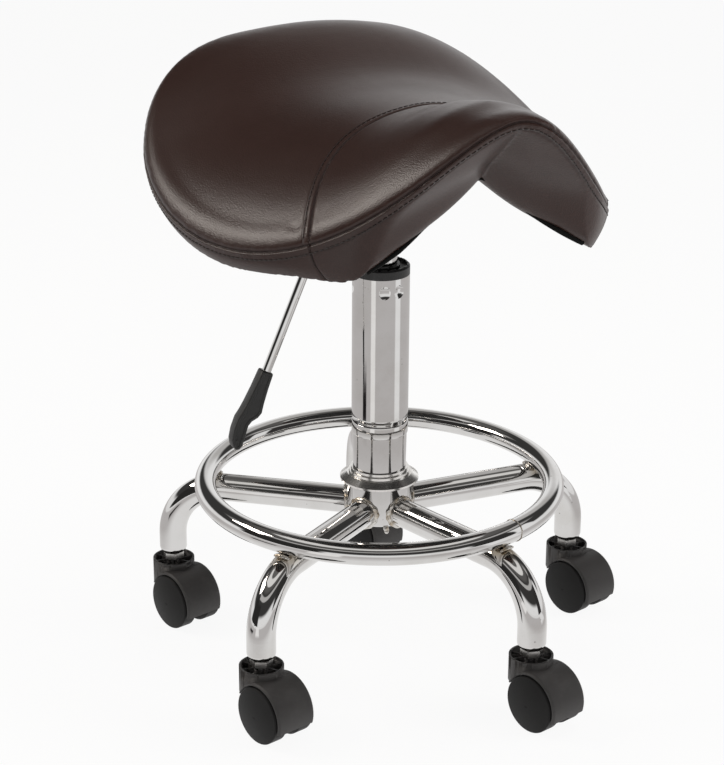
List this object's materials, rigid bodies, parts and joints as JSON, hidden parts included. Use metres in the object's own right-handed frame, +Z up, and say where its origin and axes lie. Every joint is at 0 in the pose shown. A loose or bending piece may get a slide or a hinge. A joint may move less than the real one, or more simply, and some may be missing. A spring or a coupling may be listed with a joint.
{
  "type": "adjustable swivel stool",
  "caption": "Saddle stool: a padded saddle seat that swivels on a gas lift with a release lever, over a chromed tube base with a foot ring and twin-wheel casters.",
  "frame": {"origin": "on the floor under the column axis", "axes": "+Z up along the column, -Y towards the front of the saddle, -X towards the rider's right, where the lever is"},
  "size_m": [0.4181, 0.4371, 0.5431],
  "materials": {
    "chrome": "polished",
    "weld_steel": "satin",
    "zinc_steel": "satin",
    "plate_paint": "satin",
    "black_plastic": "matte",
    "caster_plastic": "satin",
    "rubber": "matte",
    "wood": "matte",
    "leatherette": "satin"
  },
  "bodies": {
    "base": {"leg_1": "chrome", "leg_2": "chrome", "leg_3": "chrome", "leg_4": "chrome", "leg_5": "chrome", "leg_plugs": "zinc_steel", "foot_ring": "chrome", "ring_welds": "weld_steel", "caster_stems": "zinc_steel", "hub": "chrome", "hub_flange": "chrome", "standpipe": "chrome", "guide_sleeve": "black_plastic", "end_plate": "zinc_steel", "bearing_lower_race": "zinc_steel"},
    "rod": {"piston_rod": "zinc_steel", "piston": "zinc_steel", "retaining_clip": "zinc_steel", "bearing_balls": "zinc_steel", "bearing_upper_race": "zinc_steel", "bump_stop": "rubber"},
    "seat": {"gas_cylinder": "chrome", "rod_guide": "zinc_steel", "taper_socket": "plate_paint", "mount_plate": "plate_paint", "lever_bracket": "plate_paint", "lever_pivot_pin": "zinc_steel", "mounting_block": "wood", "plate_bolts": "zinc_steel", "tee_nuts": "zinc_steel", "block_screws": "zinc_steel", "seat_shell": "black_plastic", "seat_cushion": "leatherette"},
    "lever": {"lever_rod": "chrome", "lever_grip": "black_plastic"},
    "button": {"release_button": "zinc_steel"},
    "caster_1": {"caster_1_hood": "caster_plastic", "caster_1_axle": "zinc_steel"},
    "caster_1_left": {"caster_1_wheel_left": "caster_plastic"},
    "caster_1_right": {"caster_1_wheel_right": "caster_plastic"},
    "caster_2": {"caster_2_hood": "caster_plastic", "caster_2_axle": "zinc_steel"},
    "caster_2_left": {"caster_2_wheel_left": "caster_plastic"},
    "caster_2_right": {"caster_2_wheel_right": "caster_plastic"},
    "caster_3": {"caster_3_hood": "caster_plastic", "caster_3_axle": "zinc_steel"},
    "caster_3_left": {"caster_3_wheel_left": "caster_plastic"},
    "caster_3_right": {"caster_3_wheel_right": "caster_plastic"},
    "caster_4": {"caster_4_hood": "caster_plastic", "caster_4_axle": "zinc_steel"},
    "caster_4_left": {"caster_4_wheel_left": "caster_plastic"},
    "caster_4_right": {"caster_4_wheel_right": "caster_plastic"},
    "caster_5": {"caster_5_hood": "caster_plastic", "caster_5_axle": "zinc_steel"},
    "caster_5_left": {"caster_5_wheel_left": "caster_plastic"},
    "caster_5_right": {"caster_5_wheel_right": "caster_plastic"}
  },
  "joints": [
    {"name": "seat_swivel", "type": "hinge", "parent": "base", "child": "rod", "pos_m": [0, 0, 0.13], "axis": [0, 0, 1], "continuous": true},
    {"name": "seat_lift", "type": "slide", "parent": "rod", "child": "seat", "axis": [0, 0, 1], "range_m": [0, 0.13]},
    {"name": "lever_pivot", "type": "hinge", "parent": "seat", "child": "lever", "pos_m": [-0.02, 0, 0.438], "axis": [0, 1, 0], "range_deg": [0, 11], "stiffness_Nm_per_rad": 0.4},
    {"name": "button_press", "type": "slide", "parent": "seat", "child": "button", "axis": [0, 0, -1], "range_m": [0, 0.00394]},
    {"name": "caster_1_swivel", "type": "hinge", "parent": "base", "child": "caster_1", "pos_m": [0.05347, -0.18649, 0.055], "axis": [0, 0, 1], "continuous": true},
    {"name": "caster_1_left_spin", "type": "hinge", "parent": "caster_1", "child": "caster_1_left", "pos_m": [0.05844, -0.20379, 0.025], "axis": [0.9613, 0.2756, 0], "continuous": true},
    {"name": "caster_1_right_spin", "type": "hinge", "parent": "caster_1", "child": "caster_1_right", "pos_m": [0.05844, -0.20379, 0.025], "axis": [0.9613, 0.2756, 0], "continuous": true},
    {"name": "caster_2_swivel", "type": "hinge", "parent": "base", "child": "caster_2", "pos_m": [0.19388, -0.00677, 0.055], "axis": [0, 0, 1], "continuous": true},
    {"name": "caster_2_left_spin", "type": "hinge", "parent": "caster_2", "child": "caster_2_left", "pos_m": [0.19884, -0.02407, 0.025], "axis": [0.9613, 0.2756, 0], "continuous": true},
    {"name": "caster_2_right_spin", "type": "hinge", "parent": "caster_2", "child": "caster_2_right", "pos_m": [0.19884, -0.02407, 0.025], "axis": [0.9613, 0.2756, 0], "continuous": true},
    {"name": "caster_3_swivel", "type": "hinge", "parent": "base", "child": "caster_3", "pos_m": [0.06635, 0.1823, 0.055], "axis": [0, 0, 1], "continuous": true},
    {"name": "caster_3_left_spin", "type": "hinge", "parent": "caster_3", "child": "caster_3_left", "pos_m": [0.07131, 0.165, 0.025], "axis": [0.9613, 0.2756, 0], "continuous": true},
    {"name": "caster_3_right_spin", "type": "hinge", "parent": "caster_3", "child": "caster_3_right", "pos_m": [0.07131, 0.165, 0.025], "axis": [0.9613, 0.2756, 0], "continuous": true},
    {"name": "caster_4_swivel", "type": "hinge", "parent": "base", "child": "caster_4", "pos_m": [-0.15287, 0.11944, 0.055], "axis": [0, 0, 1], "continuous": true},
    {"name": "caster_4_left_spin", "type": "hinge", "parent": "caster_4", "child": "caster_4_left", "pos_m": [-0.14791, 0.10214, 0.025], "axis": [0.9613, 0.2756, 0], "continuous": true},
    {"name": "caster_4_right_spin", "type": "hinge", "parent": "caster_4", "child": "caster_4_right", "pos_m": [-0.14791, 0.10214, 0.025], "axis": [0.9613, 0.2756, 0], "continuous": true},
    {"name": "caster_5_swivel", "type": "hinge", "parent": "base", "child": "caster_5", "pos_m": [-0.16083, -0.10848, 0.055], "axis": [0, 0, 1], "continuous": true},
    {"name": "caster_5_left_spin", "type": "hinge", "parent": "caster_5", "child": "caster_5_left", "pos_m": [-0.15587, -0.12579, 0.025], "axis": [0.9613, 0.2756, 0], "continuous": true},
    {"name": "caster_5_right_spin", "type": "hinge", "parent": "caster_5", "child": "caster_5_right", "pos_m": [-0.15587, -0.12579, 0.025], "axis": [0.9613, 0.2756, 0], "continuous": true}
  ],
  "couplings": [
    {"joint": "button_press", "follows": "lever_pivot", "m_per_rad": 0.0205}
  ]
}
